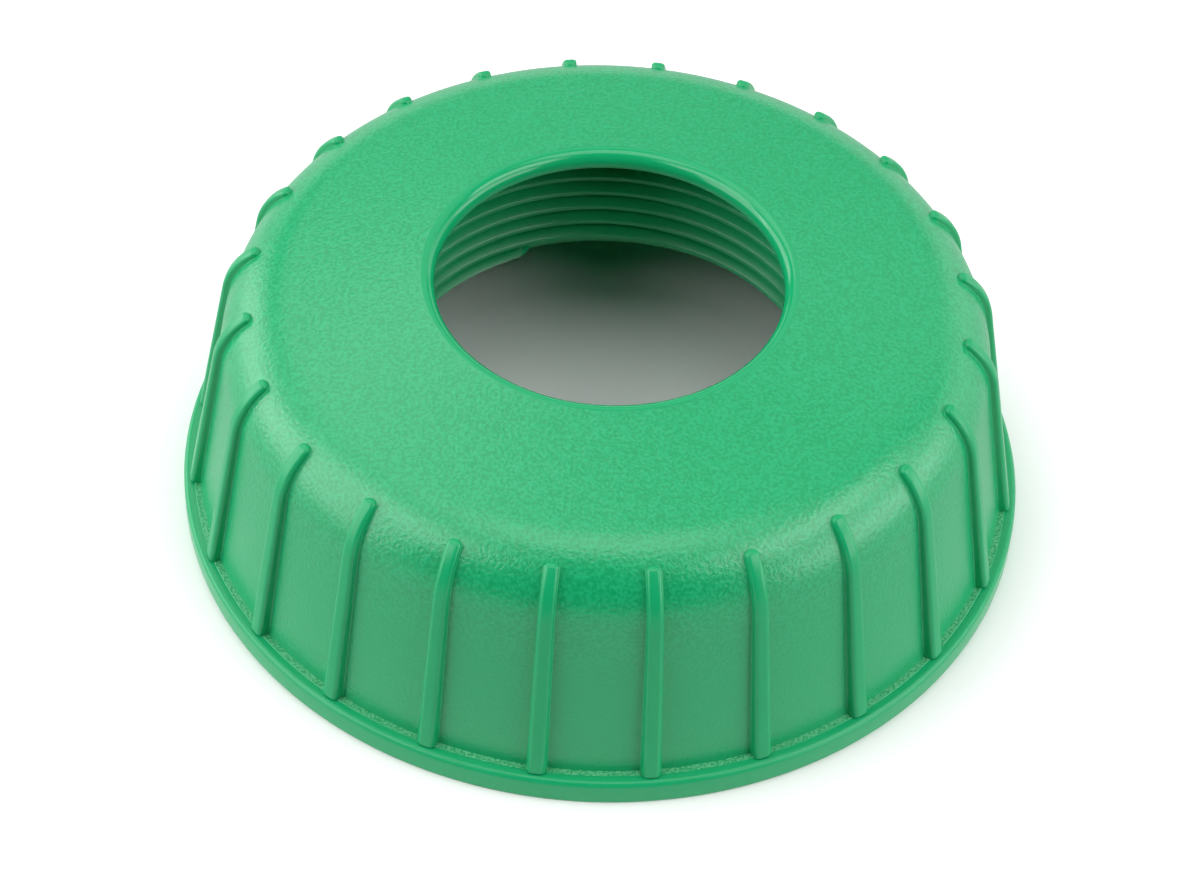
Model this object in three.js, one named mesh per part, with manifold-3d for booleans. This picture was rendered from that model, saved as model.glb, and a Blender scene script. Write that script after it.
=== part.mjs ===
// Screw cap of a wasp trap: a wide domed ring cap with an entry hole in its crown, a female-threaded
// collar under the crown for the neck of a jar, a flat base rim and a ring of straight grip ribs.
// Millimetres, +Z up. The origin is the centre of the base rim's underside, and -Y is the front.
import * as THREE from "three";
import { mergeVertices } from "three/addons/utils/BufferGeometryUtils.js";
import Module from "manifold-3d";

const wasm = await Module();
wasm.setup();

// ---- Driving dimensions ----
const DEG = Math.PI / 180;
const SEGMENTS = 72; // facets round the cap, three to each rib's pitch
const COLLAR_SEGMENTS = 36;
const WALL = 2.2; // moulded wall of the shell
const GAP = 0.1; // between pieces that touch

const RIM_R = 60; // outer radius of the base rim, the cap's widest point
const RIM_H = 3.8; // height of the ledge that the skirt and the ribs stand on
const RIM_EDGE = 0.8; // rounding of the rim's upper edge
const RIM_FOOT_EDGE = 0.3; // and of its lower edge

const SKIRT_FOOT_R = 57.6; // outside of the skirt at the ledge
const SKIRT_DRAFT = 9.8 * DEG; // lean of the skirt from upright
const SHOULDER_R = 11; // outside radius of the shoulder's bend
const SHOULDER_Z = 26.2; // height of the bend's centre
const CROWN_SLOPE = 8.3 * DEG; // fall of the crown from the hole to the shoulder

const HOLE_R = 24; // entry hole
const LIP_R = 25.8; // outside of the lip ring
const LIP_ROUND = 1.7; // rounding of the lip's upper edge

const SEAT_R = 30.3; // outside of the flat seat for the jar's lip
const SEAT_Z = 36.8; // height of the seat, and of the hole's lower edge

const THREAD_ROOT_R = 32.1; // inside wall of the collar, between the threads
const THREAD_CREST_R = 30.6; // inner radius of the thread's crest
const THREAD_PITCH = 2.85;
const THREAD_CREST_W = 0.7; // width of the crest's flat
const THREAD_ROOT_W = 2.1; // width of the thread at the wall
const THREAD_START = 112 * DEG; // where the lowest thread begins, anticlockwise from +X
const THREAD_START_Z = 15.1; // height of its middle there
const THREAD_TURNS = 6.75;
const COLLAR_R = 34.3; // outside of the collar
const COLLAR_FOOT_Z = 14.9; // height of the collar's lower edge
const LEAD_IN = 0.6; // chamfer inside that edge

const RIB_COUNT = 24;
const RIB_FIRST = 8.5 * DEG; // the first rib, anticlockwise from the front
const RIB_PROUD = 1.55; // how far a rib stands out of the skirt at the ledge
const RIB_BEND_PROUD = 1.15; // where the skirt turns into the shoulder
const RIB_TIP_PROUD = 0.9; // and out of the shoulder near its end
const RIB_FOOT_W = 2.5; // width at the ledge
const RIB_TIP_W = 1.9; // width at the shoulder
const RIB_TIP_ANGLE = 50 * DEG; // where on the shoulder's bend a rib ends
const RIB_ROUND = 0.8; // rounding of a rib's crest

// ---- Measures worked out from them ----
const shoulderX =
  SKIRT_FOOT_R -
  (SHOULDER_Z + SHOULDER_R * Math.sin(SKIRT_DRAFT) - RIM_H) *
    Math.tan(SKIRT_DRAFT) -
  SHOULDER_R * Math.cos(SKIRT_DRAFT);
const crownAngle = Math.PI / 2 - CROWN_SLOPE; // where the bend meets the crown
const crownEdge = onShoulder(SHOULDER_R, crownAngle);

// A point of the shoulder's bend, at a radius from its centre and an angle above level.
function onShoulder(radius, angle) {
  return new THREE.Vector2(
    shoulderX + radius * Math.cos(angle),
    SHOULDER_Z + radius * Math.sin(angle),
  );
}

// The crown's height at a distance from the axis, depth below its top surface.
function crownZ(r, depth = 0) {
  return (
    crownEdge.y +
    (crownEdge.x - r) * Math.tan(CROWN_SLOPE) -
    depth / Math.cos(CROWN_SLOPE)
  );
}

// The skirt's outer radius at a height, proud of its surface by offset.
function skirtR(z, offset = 0) {
  return (
    SKIRT_FOOT_R -
    (z - RIM_H) * Math.tan(SKIRT_DRAFT) +
    offset / Math.cos(SKIRT_DRAFT)
  );
}

// Points of an arc in the plane of a profile: from and to are angles above level.
function arc(cx, cy, radius, from, to, steps) {
  return Array.from({ length: steps + 1 }, (_, i) => {
    const a = from + ((to - from) * i) / steps;
    return new THREE.Vector2(
      cx + radius * Math.cos(a),
      cy + radius * Math.sin(a),
    );
  });
}

const at = (r, z) => new THREE.Vector2(r, z);

// ---- Solids ----

const CAP_FIRST = RIB_FIRST - Math.PI / SEGMENTS; // a facet's middle faces each rib
const COLLAR_FIRST = THREAD_START + Math.PI / 2; // a corner lies at each step of the thread

// A profile of (radius, height) points, anticlockwise, turned once round the upright axis.
// Its first corner stands at the angle first, anticlockwise from the front.
function turned(profile, segments = SEGMENTS, first = CAP_FIRST) {
  const lathe = new THREE.LatheGeometry(
    [...profile, profile[0]],
    segments,
    first,
    2 * Math.PI,
  );
  return lathe.rotateX(Math.PI / 2);
}

// A geometry as a manifold-3d solid, and back.
function solid(geometry) {
  const bare = geometry.clone();
  bare.deleteAttribute("normal");
  bare.deleteAttribute("uv");
  const merged = mergeVertices(bare, 1e-3);
  return new wasm.Manifold(
    new wasm.Mesh({
      numProp: 3,
      vertProperties: merged.attributes.position.array,
      triVerts: new Uint32Array(merged.index.array),
    }),
  );
}

function geometryOf(made) {
  const { numProp, vertProperties, triVerts } = made.getMesh();
  const geometry = new THREE.BufferGeometry();
  geometry.setAttribute(
    "position",
    new THREE.BufferAttribute(vertProperties, numProp),
  );
  geometry.setIndex(new THREE.BufferAttribute(triVerts, 1));
  geometry.computeVertexNormals();
  return geometry;
}

// Crown, shoulder and skirt in one wall, with the flat seat for the jar's lip under the crown.
function capShell() {
  const foot = RIM_H + GAP;
  const holeR = LIP_R + GAP;
  const bend = (radius, from, to) =>
    arc(shoulderX, SHOULDER_Z, radius, from, to, 6);
  return turned([
    at(skirtR(foot), foot),
    ...bend(SHOULDER_R, SKIRT_DRAFT, crownAngle),
    at(holeR, crownZ(holeR)),
    at(holeR, SEAT_Z),
    at(SEAT_R, SEAT_Z),
    ...bend(SHOULDER_R - WALL, crownAngle, SKIRT_DRAFT),
    at(skirtR(foot, -WALL), foot),
  ]);
}

// The flat ring that the cap stands on, wider than the skirt by the ledge.
function baseRim() {
  const inner = skirtR(RIM_H, -WALL);
  const edge = (z, radius, from, to) =>
    arc(RIM_R - radius, z, radius, from, to, 2);
  return turned([
    at(inner, 0),
    ...edge(RIM_FOOT_EDGE, RIM_FOOT_EDGE, -Math.PI / 2, 0),
    ...edge(RIM_H - RIM_EDGE, RIM_EDGE, 0, Math.PI / 2),
    at(inner, RIM_H),
  ]);
}

// The smooth ring that lines the entry hole, rounded over at the top.
function entryLip() {
  const top = crownZ(LIP_R);
  return turned([
    at(HOLE_R, SEAT_Z),
    at(LIP_R, SEAT_Z),
    at(LIP_R, top),
    ...arc(HOLE_R + LIP_ROUND, top - LIP_ROUND, LIP_ROUND, 90 * DEG, 180 * DEG, 3),
  ]);
}

// The middle line of the thread on the collar's wall. Its frames keep the section upright, with
// one side square to the axis, where frames carried along the curve would slowly roll it over.
class ThreadPath extends THREE.Curve {
  angleAt(t) {
    return THREAD_START + t * THREAD_TURNS * 2 * Math.PI;
  }

  getPoint(t) {
    const angle = this.angleAt(t);
    return new THREE.Vector3(
      THREAD_ROOT_R * Math.cos(angle),
      THREAD_ROOT_R * Math.sin(angle),
      THREAD_START_Z + t * THREAD_TURNS * THREAD_PITCH,
    );
  }

  getPointAt(t) {
    return this.getPoint(t); // the helix already runs at an even speed
  }

  computeFrenetFrames(steps) {
    const frames = { tangents: [], normals: [], binormals: [] };
    for (let i = 0; i <= steps; i++) {
      const angle = this.angleAt(i / steps);
      const inward = new THREE.Vector3(-Math.cos(angle), -Math.sin(angle), 0);
      const upward = new THREE.Vector3(0, 0, 1);
      frames.normals.push(inward);
      frames.binormals.push(upward);
      frames.tangents.push(new THREE.Vector3().crossVectors(inward, upward));
    }
    return frames;
  }
}

// The sleeve for the jar's neck, with one right-hand thread down its inside.
function threadedCollar() {
  const sleeve = turned(
    [
      at(THREAD_ROOT_R, COLLAR_FOOT_Z + LEAD_IN),
      at(THREAD_ROOT_R + LEAD_IN, COLLAR_FOOT_Z),
      at(COLLAR_R, COLLAR_FOOT_Z),
      at(COLLAR_R, crownZ(COLLAR_R, WALL) - GAP),
      at(THREAD_ROOT_R, crownZ(THREAD_ROOT_R, WALL) - GAP),
    ],
    COLLAR_SEGMENTS,
    COLLAR_FIRST,
  );
  const sunk = 0.6; // the thread's foot lies this deep in the sleeve's wall
  const height = THREAD_ROOT_R - THREAD_CREST_R;
  const section = new THREE.Shape([
    at(-sunk, -THREAD_ROOT_W / 2),
    at(0, -THREAD_ROOT_W / 2),
    at(height, -THREAD_CREST_W / 2),
    at(height, THREAD_CREST_W / 2),
    at(0, THREAD_ROOT_W / 2),
    at(-sunk, THREAD_ROOT_W / 2),
  ]);
  const thread = new THREE.ExtrudeGeometry(section, {
    steps: THREAD_TURNS * COLLAR_SEGMENTS,
    extrudePath: new ThreadPath(),
  });
  const zone = turned(
    [
      at(THREAD_CREST_R - 1, COLLAR_FOOT_Z),
      at(COLLAR_R - sunk, COLLAR_FOOT_Z),
      at(COLLAR_R - sunk, SEAT_Z - 1),
      at(THREAD_CREST_R - 1, SEAT_Z - 1),
    ],
    COLLAR_SEGMENTS,
    COLLAR_FIRST,
  );
  return geometryOf(solid(sleeve).add(solid(thread).intersect(solid(zone))));
}

// One grip rib at the front of the cap: a bar that climbs the skirt from the ledge, follows the
// shoulder's bend and ends there, getting narrower all the way and lower round the bend.
function gripRib() {
  const foot = RIM_H + GAP;
  const sunk = 1; // the outline's back lies this deep in the wall until it is cut away
  const steps = 4;
  const crest = Array.from({ length: steps + 1 }, (_, i) =>
    onShoulder(
      SHOULDER_R + THREE.MathUtils.lerp(RIB_BEND_PROUD, RIB_TIP_PROUD, i / steps),
      THREE.MathUtils.lerp(SKIRT_DRAFT, RIB_TIP_ANGLE, i / steps),
    ),
  );
  const outline = new THREE.Shape([
    at(skirtR(foot, -sunk), foot),
    at(skirtR(foot, RIB_PROUD), foot),
    ...crest,
    onShoulder(SHOULDER_R + RIB_TIP_PROUD - RIB_ROUND, RIB_TIP_ANGLE + 4 * DEG),
    onShoulder(SHOULDER_R - sunk, RIB_TIP_ANGLE + 4 * DEG),
    onShoulder(SHOULDER_R - sunk, SKIRT_DRAFT),
  ]);
  const bar = new THREE.ExtrudeGeometry(outline, {
    depth: RIB_FOOT_W - 2 * RIB_ROUND,
    bevelThickness: RIB_ROUND,
    bevelSize: RIB_ROUND,
    bevelOffset: -RIB_ROUND,
    bevelSegments: 2,
  });
  bar.translate(0, 0, RIB_ROUND - RIB_FOOT_W / 2);
  bar.rotateX(Math.PI / 2); // the outline stands upright, with the bar's width along Y
  const place = bar.attributes.position;
  const tipZ = onShoulder(SHOULDER_R, RIB_TIP_ANGLE).y;
  for (let i = 0; i < place.count; i++) {
    const climb = THREE.MathUtils.clamp((place.getZ(i) - foot) / (tipZ - foot), 0, 1);
    place.setY(i, place.getY(i) * THREE.MathUtils.lerp(1, RIB_TIP_W / RIB_FOOT_W, climb));
  }
  bar.rotateZ(RIB_FIRST - Math.PI / 2);
  const envelope = turned([
    at(RIM_R - 20, RIM_H - 10),
    at(skirtR(RIM_H - 10, GAP), RIM_H - 10),
    ...arc(shoulderX, SHOULDER_Z, SHOULDER_R + GAP, SKIRT_DRAFT, crownAngle, 6),
    at(RIM_R - 20, crownZ(RIM_R - 20, -GAP)),
  ]);
  return geometryOf(solid(bar).subtract(solid(envelope)));
}

// ---- The cap ----
const shotBlasted = new THREE.MeshStandardMaterial({
  name: "matte_green_shell",
  color: 0x43b57c,
  roughness: 0.55,
  metalness: 0,
});
const smooth = new THREE.MeshStandardMaterial({
  name: "smooth_green_trim",
  color: 0x35ad70,
  roughness: 0.35,
  metalness: 0,
});
const polished = new THREE.MeshStandardMaterial({
  name: "polished_green_lip",
  color: 0x0f9a57,
  roughness: 0.15,
  metalness: 0,
});

const cap = new THREE.Group();

function addPiece(name, geometry, material) {
  const piece = new THREE.Mesh(geometry, material);
  piece.name = name;
  cap.add(piece);
  return piece;
}

addPiece("cap_shell", capShell(), shotBlasted);
addPiece("base_rim", baseRim(), smooth);
addPiece("entry_lip", entryLip(), polished);
addPiece("threaded_collar", threadedCollar(), smooth);

const rib = gripRib();
for (let i = 0; i < RIB_COUNT; i++) {
  const number = String(i + 1).padStart(2, "0");
  const piece = addPiece("grip_rib_" + number, rib, smooth);
  piece.rotation.z = (i * 2 * Math.PI) / RIB_COUNT;
}

export default cap;
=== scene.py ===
"""The looks of a wasp trap's screw cap: a domed ring of green polypropylene with an entry hole,
a threaded collar for the jar's neck, a base rim and a ring of grip ribs."""

import math

import bmesh
import bpy
from mathutils import Matrix, Vector


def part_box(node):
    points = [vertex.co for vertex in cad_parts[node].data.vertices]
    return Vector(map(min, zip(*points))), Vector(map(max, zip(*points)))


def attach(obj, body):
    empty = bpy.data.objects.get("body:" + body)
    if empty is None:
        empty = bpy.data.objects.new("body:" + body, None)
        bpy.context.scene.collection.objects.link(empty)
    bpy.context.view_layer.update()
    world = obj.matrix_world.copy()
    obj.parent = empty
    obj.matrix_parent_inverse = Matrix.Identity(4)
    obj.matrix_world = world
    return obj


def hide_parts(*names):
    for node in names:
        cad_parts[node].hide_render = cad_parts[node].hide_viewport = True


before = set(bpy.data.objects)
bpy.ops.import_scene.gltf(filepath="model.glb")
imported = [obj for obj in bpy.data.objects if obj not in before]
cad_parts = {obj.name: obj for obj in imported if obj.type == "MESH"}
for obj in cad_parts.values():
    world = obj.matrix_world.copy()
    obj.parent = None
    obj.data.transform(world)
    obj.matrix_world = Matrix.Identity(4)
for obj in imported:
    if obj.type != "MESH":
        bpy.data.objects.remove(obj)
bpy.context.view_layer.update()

# ---- Measures, in metres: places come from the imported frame, fine detail from the moulding ----
MM = 0.001
TURN = 2 * math.pi

_, rim_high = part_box("base_rim")
_, shell_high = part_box("cap_shell")
lip_low, lip_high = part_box("entry_lip")
collar_low, collar_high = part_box("threaded_collar")

RIM_R = rim_high.x  # outer radius of the base rim
LEDGE_Z = rim_high.z  # height of the ledge on the rim
SKIRT_FOOT_R = shell_high.x  # outside of the skirt where it meets the ledge
LIP_R = lip_high.x  # outside of the smooth lip, where the grain begins
SEAT_Z = lip_low.z  # underside of the crown inside the collar
COLLAR_R = collar_high.x
COLLAR_FOOT_Z = collar_low.z

WALL = 2.2 * MM
SKIRT_DRAFT = math.radians(9.8)
SHOULDER_R = 11 * MM  # outside radius of the shoulder's bend
SHOULDER_Z = 26.2 * MM  # height of the bend's centre
CROWN_SLOPE = math.radians(8.3)
HOLE_R = 24 * MM
LIP_ROUND = 1.7 * MM
LIP_FOOT_ROUND = 0.9 * MM  # rounding of the lip's lower edge
SEAT_R = 30.3 * MM
RIM_EDGE = 0.8 * MM  # rounding of the rim's upper edge
RIM_FOOT_EDGE = 0.3 * MM
GRAINED_LEDGE_W = 0.85 * MM  # the skirt's grain runs on over the ledge this far
GRAIN_STEP = 0.08 * MM  # and ends in a fine step

COLLAR_EDGE = 0.2 * MM  # chamfer outside the collar's foot
LEAD_IN = 0.6 * MM  # chamfer where the neck enters
HEADROOM = 0.3 * MM  # between the top of the wound bore and the crown
THREAD_ROOT_R = 32.1 * MM
THREAD_CREST_R = 30.6 * MM
THREAD_PITCH = 2.85 * MM
THREAD_CREST_W = 0.7 * MM
THREAD_ROOT_W = 2.1 * MM
THREAD_SOFT = 0.12 * MM  # rounding of the crest's corners
THREAD_START = math.radians(112)
THREAD_START_Z = 15.1 * MM
THREAD_TURNS = 6.75
THREAD_BLUNT = math.radians(3)  # the thread rises, and falls, within this angle at its ends

RIB_COUNT = 24
RIB_FIRST = math.radians(8.5)  # the first rib, anticlockwise from the front
RIB_PROUD = 1.55 * MM  # out of the skirt at the ledge
RIB_BEND_PROUD = 1.15 * MM  # where the skirt turns into the shoulder
RIB_TIP_PROUD = 0.9 * MM  # out of the shoulder, near the tip
RIB_SUNK = 0.3 * MM  # into the wall behind
RIB_FOOT_W = 2.5 * MM
RIB_TIP_W = 1.9 * MM
RIB_TIP_ANGLE = math.radians(50)
RIB_ROUND = 0.75 * MM  # rounding along each edge of its crest
RIB_TOE = 0.25 * MM  # fillet down each side of a rib
RIB_NOSE_END = 0.02  # size of the nose's last row, as a share of the full size

ROUND_STEPS = 360  # steps in a full turn of the visible rings
THREAD_STEPS = 180  # steps in a full turn of the collar
CREASE = math.radians(40)  # edges that turn more than this look sharp
OUTWARD = 0.05  # on the shell, faces whose normal climbs more than this are the outside
LEVEL = 0.9  # on the rim, faces whose normal climbs more than this are level
WELD = 0.02 * MM  # corners closer than this are one

shoulder_x = (
    SKIRT_FOOT_R
    - (SHOULDER_Z + SHOULDER_R * math.sin(SKIRT_DRAFT) - LEDGE_Z) * math.tan(SKIRT_DRAFT)
    - SHOULDER_R * math.cos(SKIRT_DRAFT)
)
crown_angle = math.pi / 2 - CROWN_SLOPE


# ---- Profiles: lists of (radius, height) ----
def arc(x, z, radius, start, end, steps):
    """Points of an arc, with its angles above level."""
    angles = [start + (end - start) * i / steps for i in range(steps + 1)]
    return [(x + radius * math.cos(a), z + radius * math.sin(a)) for a in angles]


def run(start, end, steps):
    """Points of a straight stretch, without its last one."""
    (x, z), (end_x, end_z) = start, end
    return [(x + (end_x - x) * i / steps, z + (end_z - z) * i / steps) for i in range(steps)]


def share(part, whole):
    """How much of a whole a part is, from 0 to 1."""
    return min(1, max(0, part / whole))


def on_shoulder(radius, angle):
    """A point of the shoulder's bend, at a radius from its centre and an angle above level."""
    return shoulder_x + radius * math.cos(angle), SHOULDER_Z + radius * math.sin(angle)


def skirt_r(z, offset=0.0):
    """The skirt's radius at a height, offset out of its surface."""
    lean = math.tan(SKIRT_DRAFT)
    return SKIRT_FOOT_R - (z - LEDGE_Z) * lean + offset / math.cos(SKIRT_DRAFT)


def crown_z(r, depth=0.0):
    """The crown's height at a radius, depth below its surface."""
    edge_x, edge_z = on_shoulder(SHOULDER_R, crown_angle)
    return edge_z + (edge_x - r) * math.tan(CROWN_SLOPE) - depth / math.cos(CROWN_SLOPE)


# ---- Pieces ----
def finished(bm, name, node, materials):
    """The bmesh as a smooth-shaded piece that stands for a CAD node and rides with the cap."""
    mesh = bpy.data.meshes.new(name)
    bm.to_mesh(mesh)
    bm.free()
    for material in materials:
        mesh.materials.append(material)
    mesh.shade_smooth()
    mesh.set_sharp_from_angle(angle=CREASE)
    piece = bpy.data.objects.new(name, mesh)
    bpy.context.scene.collection.objects.link(piece)
    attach(piece, "root")
    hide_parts(node)
    return piece


def spin_once(bm, points, steps, closed):
    """Points of (radius, height), joined in order and turned once round the cap's axis."""
    corners = [bm.verts.new((r, 0, z)) for r, z in points]
    pairs = list(zip(corners, corners[1:]))
    if closed:
        pairs.append((corners[-1], corners[0]))
    sides = [bm.edges.new(pair) for pair in pairs]
    bmesh.ops.spin(
        bm,
        geom=corners + sides,
        cent=(0, 0, 0),
        axis=(0, 0, 1),
        angle=TURN,
        steps=steps,
        use_merge=True,
    )


def turned(profile):
    """A bmesh of a closed profile turned into a ring, with its faces outward."""
    bm = bmesh.new()
    spin_once(bm, profile, ROUND_STEPS, closed=True)
    bmesh.ops.recalc_face_normals(bm, faces=bm.faces)
    # The lip's bead oversails its outer wall by a hair, which can turn the whole ring inside out.
    if bm.calc_volume(signed=True) < 0:
        bmesh.ops.reverse_faces(bm, faces=bm.faces)
    return bm


def make_shell(grained, smooth):
    """Crown, shoulder and skirt in one wall: grained outside, and inside off a smooth core."""
    outside = [
        *run((skirt_r(LEDGE_Z), LEDGE_Z), on_shoulder(SHOULDER_R, SKIRT_DRAFT), steps=24),
        *arc(shoulder_x, SHOULDER_Z, SHOULDER_R, SKIRT_DRAFT, crown_angle, steps=28),
        *run(on_shoulder(SHOULDER_R, crown_angle), (LIP_R, crown_z(LIP_R)), steps=18)[1:],
        (LIP_R, crown_z(LIP_R)),
    ]
    inside = [
        *run((LIP_R, SEAT_Z), (SEAT_R, SEAT_Z), steps=4),
        *run((SEAT_R, SEAT_Z), on_shoulder(SHOULDER_R - WALL, crown_angle), steps=8),
        *arc(shoulder_x, SHOULDER_Z, SHOULDER_R - WALL, crown_angle, SKIRT_DRAFT, steps=14),
        (skirt_r(LEDGE_Z, -WALL), LEDGE_Z),
    ]
    bm = turned(outside + inside)
    for face in bm.faces:
        face.material_index = 0 if face.normal.z > OUTWARD else 1
    return finished(bm, "shell_moulding", "cap_shell", [grained, smooth])


def make_rim(ledge_sheen, smooth):
    """The base rim. The skirt's grain runs a little way over its ledge and ends in a fine step."""
    inner = skirt_r(LEDGE_Z, -WALL)
    grain_end = SKIRT_FOOT_R + GRAINED_LEDGE_W
    low = LEDGE_Z - GRAIN_STEP
    profile = [
        *run((inner, 0), (RIM_R - RIM_FOOT_EDGE, 0), steps=6),
        *arc(RIM_R - RIM_FOOT_EDGE, RIM_FOOT_EDGE, RIM_FOOT_EDGE, -math.pi / 2, 0, steps=5),
        *arc(RIM_R - RIM_EDGE, low - RIM_EDGE, RIM_EDGE, 0, math.pi / 2, steps=8),
        (grain_end + GRAIN_STEP, low),
        *run((grain_end, LEDGE_Z), (inner, LEDGE_Z), steps=6),
        (inner, LEDGE_Z),
    ]
    bm = turned(profile)
    # The grained strip's level faces take the painted sheen; the rest of the rim is satin.
    for face in bm.faces:
        above_step = face.calc_center_median().z > LEDGE_Z - GRAIN_STEP / 4
        face.material_index = 0 if above_step and face.normal.z > LEVEL else 1
    return finished(bm, "rim_moulding", "base_rim", [ledge_sheen, smooth])


def make_lip(material):
    """The smooth ring that lines the entry hole: a wide bead rounded over from crown to bore."""
    top = crown_z(LIP_R)
    foot_x = HOLE_R + LIP_FOOT_ROUND
    foot_z = SEAT_Z + LIP_FOOT_ROUND
    profile = [
        *arc(foot_x, foot_z, LIP_FOOT_ROUND, math.pi, 1.5 * math.pi, steps=10),
        (LIP_R, SEAT_Z),
        (LIP_R, top),
        *arc(HOLE_R + LIP_ROUND, top - LIP_ROUND, LIP_ROUND, crown_angle, math.pi, steps=16),
    ]
    return finished(turned(profile), "lip_moulding", "entry_lip", [material])


def wind_thread(first_z):
    """The bore before it is trimmed: the thread's section, one pitch tall, wound up the wall from a
    height below the collar. The thread stands only between its start and its end, both blunt, and
    elsewhere the wall is plain."""
    half_pitch = THREAD_PITCH / 2
    crest = [
        (THREAD_ROOT_R, -THREAD_ROOT_W / 2),
        (THREAD_CREST_R + THREAD_SOFT, -THREAD_CREST_W / 2 - THREAD_SOFT / 2),
        (THREAD_CREST_R, -THREAD_CREST_W / 2 + THREAD_SOFT / 2),
        (THREAD_CREST_R, THREAD_CREST_W / 2 - THREAD_SOFT / 2),
        (THREAD_CREST_R + THREAD_SOFT, THREAD_CREST_W / 2 + THREAD_SOFT / 2),
        (THREAD_ROOT_R, THREAD_ROOT_W / 2),
    ]
    section = [(THREAD_ROOT_R, -half_pitch), *crest, (THREAD_ROOT_R, half_pitch)]
    turns = math.ceil((SEAT_Z - COLLAR_FOOT_Z) / THREAD_PITCH) + 2  # one to spare at each end
    bm = bmesh.new()
    corners = [bm.verts.new((r, 0, first_z + z)) for r, z in section]
    sides = [bm.edges.new(pair) for pair in zip(corners, corners[1:])]
    bmesh.ops.spin(
        bm,
        geom=corners + sides,
        cent=(0, 0, 0),
        axis=(0, 0, 1),
        dvec=(0, 0, THREAD_PITCH / THREAD_STEPS),
        angle=TURN * turns,
        steps=THREAD_STEPS * turns,
        use_merge=False,
    )
    bmesh.ops.remove_doubles(bm, verts=bm.verts, dist=WELD)
    for vert in bm.verts:
        r = math.hypot(vert.co.x, vert.co.y)
        if r > THREAD_ROOT_R - WELD / 2:
            continue
        azimuth = math.atan2(vert.co.y, vert.co.x) % TURN
        turn = math.floor((vert.co.z - first_z) / THREAD_PITCH - azimuth / TURN + 0.5)
        wound = azimuth + TURN * (turn - 1) - THREAD_START
        left = THREAD_TURNS * TURN - wound
        rise = share(wound, THREAD_BLUNT) * share(left, THREAD_BLUNT)
        scale = (THREAD_ROOT_R - (THREAD_ROOT_R - r) * rise) / r
        vert.co.x *= scale
        vert.co.y *= scale
    return bm


def make_collar(material):
    """The sleeve for the jar's neck: its bore is one thread section wound up the wall, trimmed level
    at both ends and closed with the sleeve's plain outside."""
    first_z = THREAD_START_Z - THREAD_PITCH * (1 + THREAD_START / TURN)  # a turn below the start
    bm = wind_thread(first_z)
    low_z = COLLAR_FOOT_Z + LEAD_IN
    high_z = crown_z(THREAD_ROOT_R, WALL) - HEADROOM
    for z, side in ((low_z, 1), (high_z, -1)):
        bmesh.ops.bisect_plane(
            bm,
            geom=bm.verts[:] + bm.edges[:] + bm.faces[:],
            dist=1e-8,
            plane_co=(0, 0, z),
            plane_no=(0, 0, side),
            clear_inner=True,
        )
    outside = [
        (THREAD_ROOT_R + LEAD_IN, COLLAR_FOOT_Z),
        (COLLAR_R - COLLAR_EDGE, COLLAR_FOOT_Z),
        (COLLAR_R, COLLAR_FOOT_Z + COLLAR_EDGE),
        (COLLAR_R, crown_z(COLLAR_R, WALL)),
        (THREAD_ROOT_R, crown_z(THREAD_ROOT_R, WALL)),
    ]
    spin_once(bm, outside, THREAD_STEPS, closed=False)
    rings = [e for e in bm.edges if e.is_boundary]
    middle_z = (low_z + high_z) / 2
    bmesh.ops.bridge_loops(bm, edges=[e for e in rings if e.verts[0].co.z < middle_z])
    bmesh.ops.bridge_loops(bm, edges=[e for e in rings if e.verts[0].co.z > middle_z])
    bmesh.ops.recalc_face_normals(bm, faces=bm.faces)
    return finished(bm, "collar_moulding", "threaded_collar", [material])


def rib_section():
    """A rib's cross-section at its foot, as (sideways, out of the shell): a flat crest with rounded
    edges, and a small fillet where the flanks meet the shell."""
    half_w = RIB_FOOT_W / 2
    toe = arc(half_w + RIB_TOE, RIB_TOE, RIB_TOE, 1.5 * math.pi, math.pi, steps=4)
    edge = arc(half_w - RIB_ROUND, RIB_PROUD - RIB_ROUND, RIB_ROUND, 0, math.pi / 2, steps=7)
    half = [(half_w + RIB_TOE, -RIB_SUNK), *toe, *edge]
    return [*half, (0, RIB_PROUD), *[(-side, out) for side, out in reversed(half)]]


def rib_rows():
    """Rows of a rib up the skirt, round the bend and over the nose, each as (radius, height, lean,
    proudness, width), with proudness and width as shares of those at the foot."""
    skirt_steps = 10
    bend_steps = 16
    foot_r = skirt_r(LEDGE_Z)
    bend_r, bend_z = on_shoulder(SHOULDER_R, SKIRT_DRAFT)
    bend = RIB_BEND_PROUD / RIB_PROUD
    tip = RIB_TIP_PROUD / RIB_PROUD
    nose = RIB_TIP_W / 2 / (SHOULDER_R + RIB_TIP_PROUD)  # angle of the rounded nose
    rows = []
    for t in (i / skirt_steps for i in range(skirt_steps + 1)):
        r = foot_r + (bend_r - foot_r) * t
        z = LEDGE_Z + (bend_z - LEDGE_Z) * t
        rows.append((r, z, SKIRT_DRAFT, 1 + (bend - 1) * t, 1))
    for t in (i / bend_steps for i in range(1, bend_steps + 1)):
        angle = SKIRT_DRAFT + (RIB_TIP_ANGLE - SKIRT_DRAFT) * t
        rows.append((*on_shoulder(SHOULDER_R, angle), angle, bend + (tip - bend) * t, 1))
    for side, out in arc(0, 0, 1, 0, math.pi / 2, steps=8)[1:]:
        angle = RIB_TIP_ANGLE + nose * out
        size = max(side, RIB_NOSE_END)
        rows.append((*on_shoulder(SHOULDER_R, angle), angle, tip * size, size))
    return rows


def stand(r, z, lean, proud, width):
    """A matrix from a rib's section plane to a place on the shell, scaled in height and width."""
    place = Matrix.Translation((r, 0, z)) @ Matrix.Rotation(-lean, 4, "Y")
    return place @ Matrix.Diagonal((proud, width, 1, 1))


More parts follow.
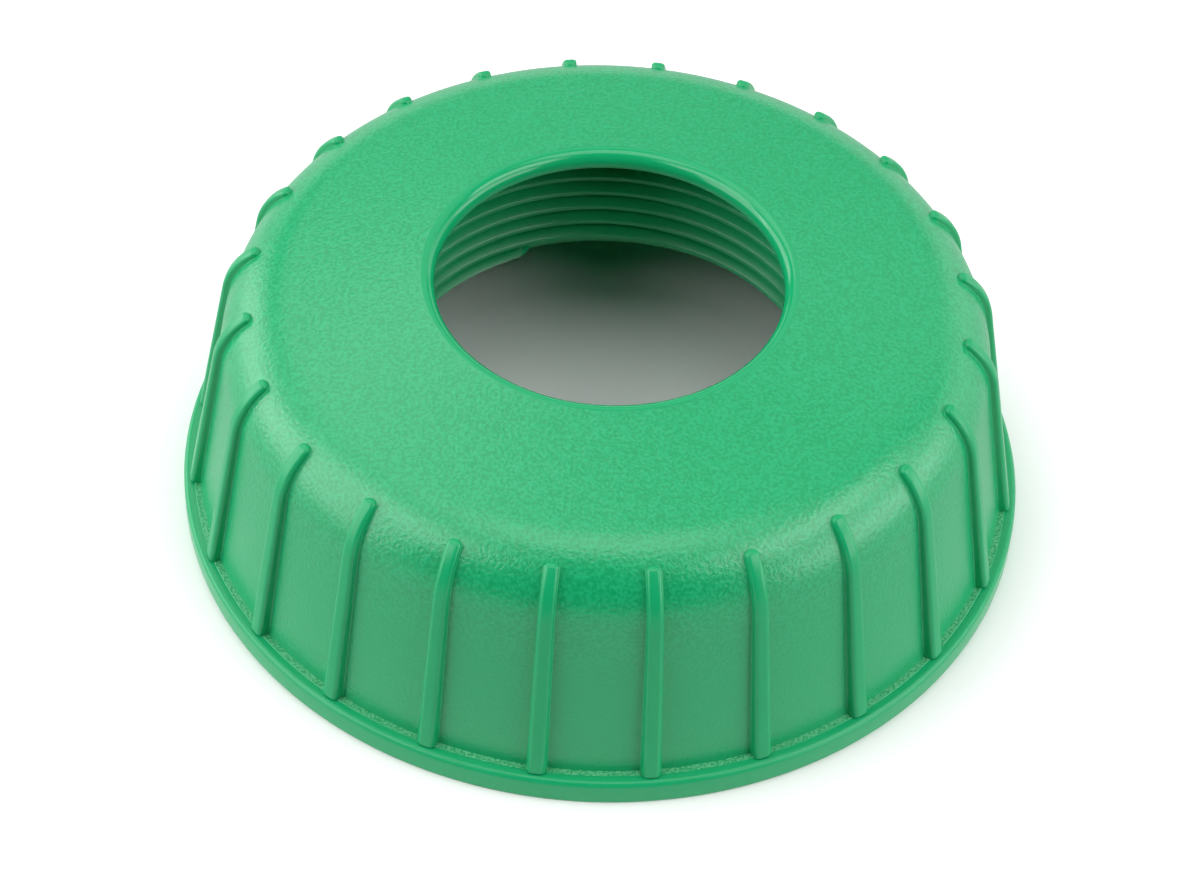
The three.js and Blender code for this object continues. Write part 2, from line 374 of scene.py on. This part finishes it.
def grow(bm, edges, matrix):
    """The next row of a rib: the open end is extruded and moved by a matrix."""
    grown = bmesh.ops.extrude_edge_only(bm, edges=edges)["geom"]
    verts = [item for item in grown if isinstance(item, bmesh.types.BMVert)]
    bmesh.ops.transform(bm, verts=verts, matrix=matrix)
    return [item for item in grown if isinstance(item, bmesh.types.BMEdge)]


def make_rib(number, material):
    """One grip rib: its section is drawn up the skirt, bent round the shoulder and nosed at the tip."""
    rows = rib_rows()
    bm = bmesh.new()
    foot = stand(*rows[0])
    corners = [bm.verts.new(foot @ Vector((out, side, 0))) for side, out in rib_section()]
    edges = [bm.edges.new(pair) for pair in zip(corners, corners[1:] + corners[:1])]
    for last, row in zip(rows, rows[1:]):
        edges = grow(bm, edges, stand(*row) @ stand(*last).inverted())
    bmesh.ops.holes_fill(bm, edges=[e for e in bm.edges if e.is_boundary], sides=0)
    _, tip_z = on_shoulder(SHOULDER_R, RIB_TIP_ANGLE)
    for vert in bm.verts:
        climb = share(vert.co.z - LEDGE_Z, tip_z - LEDGE_Z)
        vert.co.y *= 1 + (RIB_TIP_W / RIB_FOOT_W - 1) * climb
    azimuth = RIB_FIRST - math.pi / 2 + number * TURN / RIB_COUNT
    bmesh.ops.rotate(
        bm, verts=bm.verts, cent=(0, 0, 0), matrix=Matrix.Rotation(azimuth, 3, "Z")
    )
    bmesh.ops.recalc_face_normals(bm, faces=bm.faces)
    label = f"{number + 1:02d}"
    return finished(bm, "rib_moulding_" + label, "grip_rib_" + label, [material])


# ---- Materials ----
DYE = "#059c5e"
PAINTED_GLINT_TINT = "#1bad71"  # painted glint: the pale tint of specks that stand for light caught by the grain
PAINTED_LEDGE_SHEEN = "#62be8b"  # painted sheen: the pale tint of the grained strip on the ledge, which faces up into the light
WHITE = "#ffffff"
SHEET = "#cccccc"
FLOOR_BY_CAP = "#fafafa"
PAINTED_GLOW_FADE = 15 * MM  # from the rim, where the painted glow begins, to its full strength
# painted glow: how bright the floor shines for the camera, away from the cap
PAINTED_GLOW = 0.62

POLYPROPYLENE_IOR = 1.49
NOISE_LOW = 0.38  # nearly all of a noise lies between these
NOISE_HIGH = 0.62
GLINTS_FAINT_BELOW = SHOULDER_Z - 8 * MM  # the painted glints are faintest below this height
GLINTS_FULL_ABOVE = SHOULDER_Z + 4 * MM  # and at full contrast above this one


def linear(code):
    """An sRGB hex colour as linear RGBA."""
    parts = [int(code[i : i + 2], 16) / 255 for i in (1, 3, 5)]
    return [c / 12.92 if c <= 0.04045 else ((c + 0.055) / 1.055) ** 2.4 for c in parts] + [1.0]


def add(tree, kind, inputs=None, **settings):
    """A new node of a kind, with its settings, and its inputs given as values or as output sockets.
    A Mix node's inputs are numbered: 0 is its factor, and 6 and 7 are its colours."""
    node = tree.nodes.new(kind)
    for key, value in settings.items():
        setattr(node, key, value)
    for key, value in (inputs or {}).items():
        if isinstance(value, bpy.types.NodeSocket):
            tree.links.new(value, node.inputs[key])
        else:
            node.inputs[key].default_value = value
    return node


def start_material(name):
    """A new material and its empty node tree."""
    material = bpy.data.materials.new(name)
    material.use_nodes = True
    material.node_tree.nodes.clear()
    return material, material.node_tree


def polypropylene(name, roughness, gloss, grain, speckle, foot_speckle, painted_pale=PAINTED_GLINT_TINT):
    """Moulded green polypropylene: one dye, with the finish of the steel it came off. The grain is
    the size and height of its bumps, and the speckle is how much its tone varies on the crown and
    at the foot, in specks of painted glint: a pale tint mixed into the dye, with more contrast
    towards the crown."""
    material, tree = start_material(name)
    grain_size, grain_height = grain
    place = add(tree, "ShaderNodeTexCoord").outputs["Object"]
    bumps = {"Vector": place, "Scale": 1 / grain_size, "Detail": 2.0}
    relief = add(tree, "ShaderNodeTexNoise", bumps).outputs["Fac"]
    height = add(tree, "ShaderNodeSeparateXYZ", {0: place}).outputs["Z"]
    glint_ramp = {
        "Value": height,
        "From Min": GLINTS_FAINT_BELOW,
        "From Max": GLINTS_FULL_ABOVE,
        "To Min": foot_speckle,
        "To Max": speckle,
    }
    amount = add(tree, "ShaderNodeMapRange", glint_ramp).outputs[0]
    even = {
        "Value": relief,
        "From Min": NOISE_LOW,
        "From Max": NOISE_HIGH,
        "To Min": -0.5,
        "To Max": 0.5,
    }
    spots = add(tree, "ShaderNodeMapRange", even).outputs[0]
    spread = {0: spots, 1: amount, 2: 0.5}
    tone = add(tree, "ShaderNodeMath", spread, operation="MULTIPLY_ADD").outputs[0]
    # Painted glint: the tone is the dye mixed in specks with a pale tint that stands for light caught
    # by the grain.
    dyes = {0: tone, 6: linear(DYE), 7: linear(painted_pale)}
    tint = add(tree, "ShaderNodeMix", dyes, data_type="RGBA").outputs[2]
    bump = add(tree, "ShaderNodeBump", {"Height": relief, "Distance": grain_height})
    plastic = {
        "Base Color": tint,
        "Roughness": roughness,
        "IOR": POLYPROPYLENE_IOR,
        "Specular IOR Level": gloss,
        "Normal": bump.outputs["Normal"],
    }
    shader = add(tree, "ShaderNodeBsdfPrincipled", plastic)
    add(tree, "ShaderNodeOutputMaterial", {"Surface": shader.outputs["BSDF"]})
    return material


def painted_glow_floor():
    """A white sheet with painted glow: from the cap's rim outward it shines for the camera only, and
    its colour is greyer where it glows.
    """
    material, tree = start_material("painted_glow_floor")
    place = add(tree, "ShaderNodeTexCoord").outputs["Object"]
    away = add(tree, "ShaderNodeVectorMath", {0: place}, operation="LENGTH").outputs["Value"]
    fade = {"Value": away, "From Min": RIM_R, "From Max": RIM_R + PAINTED_GLOW_FADE}
    glow_share = add(tree, "ShaderNodeMapRange", fade).outputs[0]
    colours = {0: glow_share, 6: linear(FLOOR_BY_CAP), 7: linear(SHEET)}
    sheet = add(tree, "ShaderNodeMix", colours, data_type="RGBA").outputs[2]
    # Painted glow: an emission that only camera rays see, so it lights nothing.
    seen = add(tree, "ShaderNodeLightPath").outputs["Is Camera Ray"]
    glow_for_camera = add(tree, "ShaderNodeMath", {0: glow_share, 1: seen}, operation="MULTIPLY").outputs[0]
    dimmed = {0: glow_for_camera, 1: PAINTED_GLOW}
    painted_glow = add(tree, "ShaderNodeMath", dimmed, operation="MULTIPLY").outputs[0]
    paper = {
        "Base Color": sheet,
        "Roughness": 0.9,
        "Specular IOR Level": 0.0,
        "Emission Color": linear(WHITE),
        "Emission Strength": painted_glow,
    }
    shader = add(tree, "ShaderNodeBsdfPrincipled", paper)
    add(tree, "ShaderNodeOutputMaterial", {"Surface": shader.outputs["BSDF"]})
    return material


# ---- The cap ----
# Off a spark-eroded steel: a fine, even, matt grain that sparkles a little, from its bumps and from
# pale specks of painted glint, stronger on the crown than at the foot. The real grain, about a tenth of
# a millimetre, is too fine to show from here, so it is drawn at half a millimetre.
grained = polypropylene(
    "grained_polypropylene",
    roughness=0.28,
    gloss=0.7,
    grain=(0.5 * MM, 0.08 * MM),
    speckle=1.0,
    foot_speckle=0.15,
)
# The end of that steel on the ledge, where its grain is coarse; its pale specks are painted sheen.
ledge_sheen = polypropylene(
    "ledge_sheen_polypropylene",
    roughness=0.45,
    gloss=0.7,
    grain=(0.35 * MM, 0.1 * MM),
    speckle=1.2,
    foot_speckle=1.2,
    painted_pale=PAINTED_LEDGE_SHEEN,
)
# Off a stoned, unpolished steel: smooth, deep in colour, with soft highlights.
satin = polypropylene(
    "satin_polypropylene",
    roughness=0.28,
    gloss=0.45,
    grain=(1.5 * MM, 0.01 * MM),
    speckle=0.1,
    foot_speckle=0.1,
)
# Off a polished core pin: glossy, with sharp highlights.
polished = polypropylene(
    "polished_polypropylene",
    roughness=0.16,
    gloss=0.5,
    grain=(3 * MM, 0.005 * MM),
    speckle=0.1,
    foot_speckle=0.1,
)

make_shell(grained, satin)
make_rim(ledge_sheen, satin)
make_lip(polished)
make_collar(satin)
for number in range(RIB_COUNT):
    make_rib(number, satin)


# ---- Camera ----
SENSOR_W = 36  # the sensor and the lens are in millimetres, as cameras are
LENS = 96.47
CAMERA_REACH = 462.606 * MM  # from the lens to the point that it is aimed at
CAMERA_TILT = math.radians(46.853)  # down from level
CAMERA_ROLL = math.radians(2.761)
AIM = Vector((-0.3, 0, 7.07)) * MM


def make_camera():
    """A long lens looking down on the cap from the front, turned a little about its own axis."""
    data = bpy.data.cameras.new("camera")
    data.sensor_width = SENSOR_W
    data.lens = LENS
    camera = bpy.data.objects.new("camera", data)
    bpy.context.scene.collection.objects.link(camera)
    ahead = Vector((0, math.cos(CAMERA_TILT), -math.sin(CAMERA_TILT)))
    right = Vector((1, 0, 0))
    up = right.cross(ahead)
    across = math.cos(CAMERA_ROLL) * right + math.sin(CAMERA_ROLL) * up
    above = math.cos(CAMERA_ROLL) * up - math.sin(CAMERA_ROLL) * right
    turn = Matrix((across, above, -ahead)).transposed().to_4x4()
    camera.matrix_world = Matrix.Translation(AIM - ahead * CAMERA_REACH) @ turn
    bpy.context.scene.camera = camera


make_camera()


# ---- Studio ----
FLOOR_REACH = 4  # from the cap to the middle of each of the floor's sides
SOFTBOX_DISTANCE = 0.8  # from the cap to each softbox
ROOM_GLOW = 0.015  # what the dark room gives back
BACKDROP = 1.0  # the white that the camera sees past the floor

# Each softbox's name, azimuth, elevation, breadth, height and brightness. The four angles are in
# degrees as the cap sees them, with azimuth anticlockwise from the front. A white sheet in full
# light has a brightness of about 1.
SOFTBOXES = [
    ("right_softbox", 70, 47, 46, 22, 3.7),
    ("left_softbox", 293, 47, 46, 22, 3.2),
    ("top_softbox", 0, 88, 40, 32, 2.3),
    ("back_left_softbox", 223, 55, 36, 26, 1.5),
    ("right_low_box", 76, 14, 56, 26, 3.1),
    ("left_low_box", 282, 18, 46, 34, 2.8),
    ("right_back_box", 125, 16, 38, 30, 1.2),
    ("left_back_box", 243, 16, 38, 30, 2.8),
    ("back_low_box", 180, 9, 70, 18, 1.1),
    ("back_high_box", 170, 46, 60, 30, 0.8),
]


def soft_light(name, azimuth, elevation, breadth, height, brightness):
    """A rectangular softbox aimed at the cap."""
    a, e = math.radians(azimuth), math.radians(elevation)
    data = bpy.data.lights.new(name, "AREA")
    data.shape = "RECTANGLE"
    data.size = 2 * SOFTBOX_DISTANCE * math.tan(math.radians(breadth / 2))
    data.size_y = 2 * SOFTBOX_DISTANCE * math.tan(math.radians(height / 2))
    data.energy = brightness * math.pi * data.size * data.size_y
    lamp = bpy.data.objects.new(name, data)
    bpy.context.scene.collection.objects.link(lamp)
    away = Vector((math.sin(a) * math.cos(e), -math.cos(a) * math.cos(e), math.sin(e)))
    lamp.location = away * SOFTBOX_DISTANCE
    lamp.rotation_mode = "QUATERNION"
    lamp.rotation_quaternion = away.to_track_quat("Z", "Y")


def make_floor():
    """The floor that the cap stands on, with its painted glow."""
    bm = bmesh.new()
    bmesh.ops.create_grid(bm, x_segments=1, y_segments=1, size=FLOOR_REACH)
    mesh = bpy.data.meshes.new("floor")
    bm.to_mesh(mesh)
    bm.free()
    mesh.materials.append(painted_glow_floor())
    floor = bpy.data.objects.new("floor", mesh)
    bpy.context.scene.collection.objects.link(floor)


def make_room():
    """A dark room for the light, with a white backdrop for the camera."""
    world = bpy.data.worlds.new("studio")
    world.use_nodes = True
    tree = world.node_tree
    tree.nodes.clear()
    room = {"Color": linear(WHITE), "Strength": ROOM_GLOW}
    backdrop = {"Color": linear(WHITE), "Strength": BACKDROP}
    dim = add(tree, "ShaderNodeBackground", room).outputs[0]
    white = add(tree, "ShaderNodeBackground", backdrop).outputs[0]
    seen = add(tree, "ShaderNodeLightPath").outputs["Is Camera Ray"]
    mix = add(tree, "ShaderNodeMixShader", {0: seen, 1: dim, 2: white})
    add(tree, "ShaderNodeOutputWorld", {"Surface": mix.outputs[0]})
    bpy.context.scene.world = world
    bpy.context.scene.view_settings.view_transform = "Standard"


make_floor()
for softbox in SOFTBOXES:
    soft_light(*softbox)
make_room()
